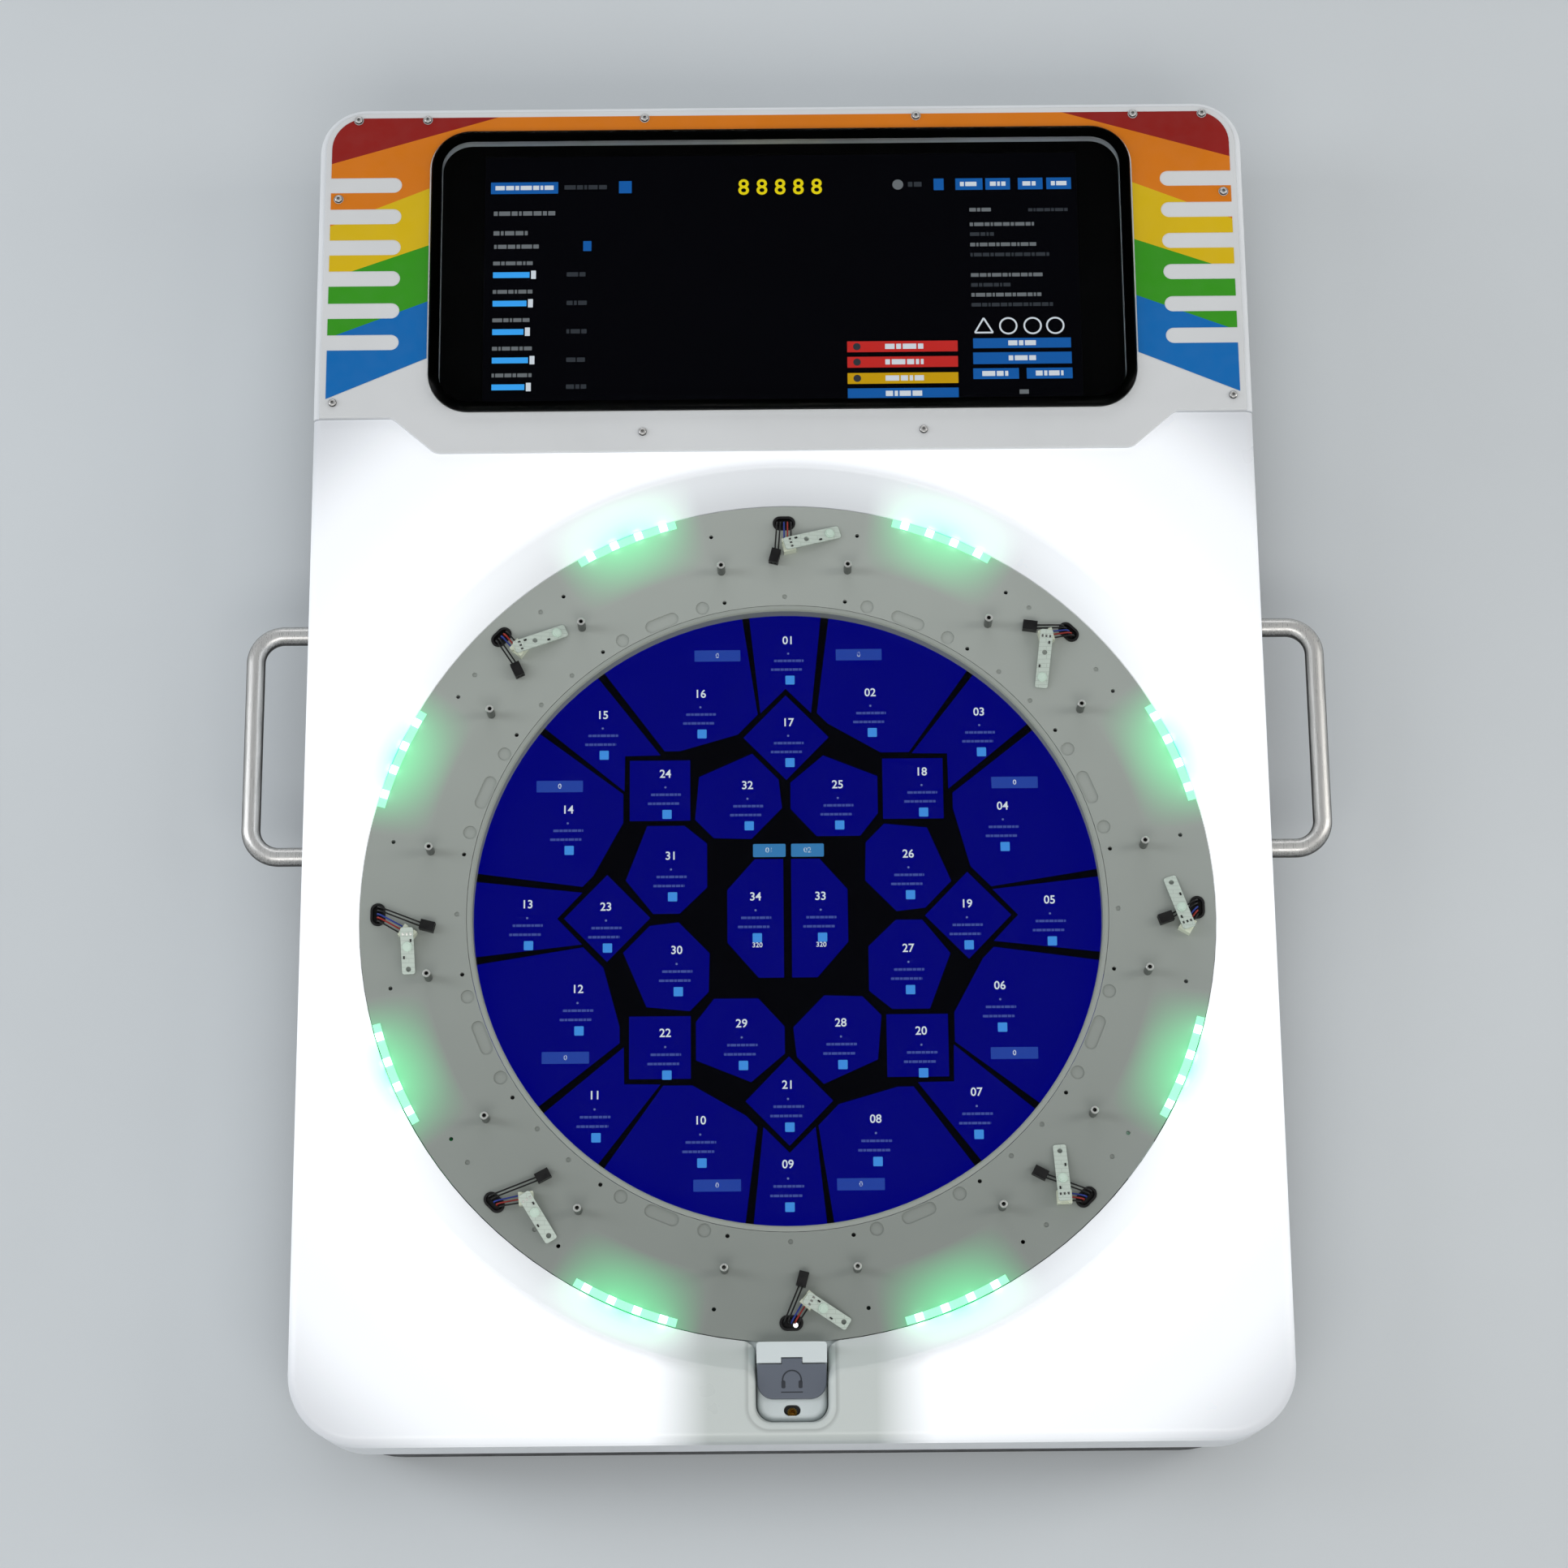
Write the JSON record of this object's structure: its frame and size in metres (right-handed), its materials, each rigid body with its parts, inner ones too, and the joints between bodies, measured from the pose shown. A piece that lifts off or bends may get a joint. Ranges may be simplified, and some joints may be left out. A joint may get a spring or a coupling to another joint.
{
  "type": "rhythm game cabinet",
  "caption": "Home rhythm game cabinet lying on its back: round touch screen in a flared well, button ring plate, upper display with striped panel, side handles and headphone pod.",
  "frame": {"origin": "on the resting surface, under the middle of the cabinet", "axes": "+X to the right seen from the front, +Y up the face towards the upper display, +Z out of the face (up as it lies)"},
  "size_m": [0.69, 0.8615, 0.118],
  "materials": {
    "black_steel": "powder-coated black",
    "white_frame": "satin white",
    "white_shell": "translucent white, lit from behind",
    "white_panel": "satin light grey-white",
    "vinyl_red": "satin printed vinyl",
    "vinyl_orange": "satin printed vinyl",
    "vinyl_yellow": "satin printed vinyl",
    "vinyl_green": "satin printed vinyl",
    "vinyl_blue": "satin printed vinyl",
    "smoked_window": "smoked, polished",
    "black_mask": "matt black",
    "zinc_steel": "zinc plated",
    "pan_aluminium": "pressed sheet",
    "screen_glass": "glossy screen",
    "clear_glass": "polished",
    "pale_acrylic": "frosted pale yellow edge",
    "grey_plate": "satin",
    "bright_metal": "nickel plated",
    "chrome_screws": "polished",
    "black_rubber": "matt",
    "black_plastic": "fine texture",
    "white_board": "solder mask",
    "white_lamp": "diffusing lens",
    "cream_plastic": "moulded",
    "black_lead": "matt",
    "red_lead": "matt",
    "blue_lead": "matt",
    "brushed_bar": "brushed stainless",
    "white_pod": "satin",
    "grey_flap": "fine texture",
    "gold_metal": "gold plated",
    "green_board": "solder mask",
    "supply_case": "mill finish",
    "socket_shell": "plated"
  },
  "bodies": {
    "root": {"board_lamps": "white_lamp", "board_parts": "black_plastic", "body_lights": "white_lamp", "button_standoffs": "bright_metal", "circuit_boards": "green_board", "cover_posts": "zinc_steel", "crossbars": "zinc_steel", "decal_blue": "vinyl_blue", "decal_green": "vinyl_green", "decal_orange": "vinyl_orange", "decal_red": "vinyl_red", "decal_yellow": "vinyl_yellow", "display_mask": "black_mask", "display_window": "smoked_window", "fan_frames": "black_plastic", "feet": "black_rubber", "flap_pin": "zinc_steel", "front_cover": "white_shell", "handle_flanges": "brushed_bar", "handle_left": "brushed_bar", "handle_right": "brushed_bar", "handle_screws": "zinc_steel", "headphone_jack": "gold_metal", "headphone_pod": "white_pod", "lamp_boards": "white_board", "lead_connectors": "cream_plastic", "leads_black": "black_lead", "leads_blue": "blue_lead", "leads_red": "red_lead", "loose_plugs": "black_plastic", "lower_frame": "white_frame", "panel_screws": "chrome_screws", "pod_bracket": "zinc_steel", "port_grommets": "black_rubber", "port_sockets": "black_plastic", "power_inlet": "black_plastic", "power_supply": "supply_case", "rear_screws": "zinc_steel", "rear_sockets": "socket_shell", "rear_tray": "black_steel", "ring_light_strips": "white_board", "ring_lights": "white_lamp", "ring_plate": "grey_plate", "screen_backlight": "pan_aluminium", "screen_bezel": "zinc_steel", "screen_cell": "screen_glass", "screen_trim": "pale_acrylic", "side_rail_left": "white_frame", "side_rail_right": "white_frame", "speakers": "black_plastic", "standoff_screws": "zinc_steel", "top_panel": "white_panel", "touch_glass": "clear_glass", "tray_inserts": "zinc_steel", "upper_frame": "white_frame", "upper_housing": "white_shell"},
    "flap": {"headphone_flap": "grey_flap"},
    "fan_left": {"fan_rotor_left": "black_plastic"},
    "fan_right": {"fan_rotor_right": "black_plastic"},
    "rocker": {"power_rocker": "black_plastic"}
  },
  "joints": [
    {"name": "flap_hinge", "type": "hinge", "parent": "root", "child": "flap", "pos_m": [0, -0.3801, 0.1025], "axis": [-1, 0, 0], "range_deg": [0, 75]},
    {"name": "left_fan_spin", "type": "hinge", "parent": "root", "child": "fan_left", "pos_m": [-0.11, 0.29, 0.02], "axis": [0, 0, 1], "continuous": true},
    {"name": "right_fan_spin", "type": "hinge", "parent": "root", "child": "fan_right", "pos_m": [0.11, 0.29, 0.02], "axis": [0, 0, 1], "continuous": true},
    {"name": "power_switch", "type": "hinge", "parent": "root", "child": "rocker", "pos_m": [-0.184, 0.428, 0.019], "axis": [1, 0, 0], "range_deg": [0, 16]}
  ]
}
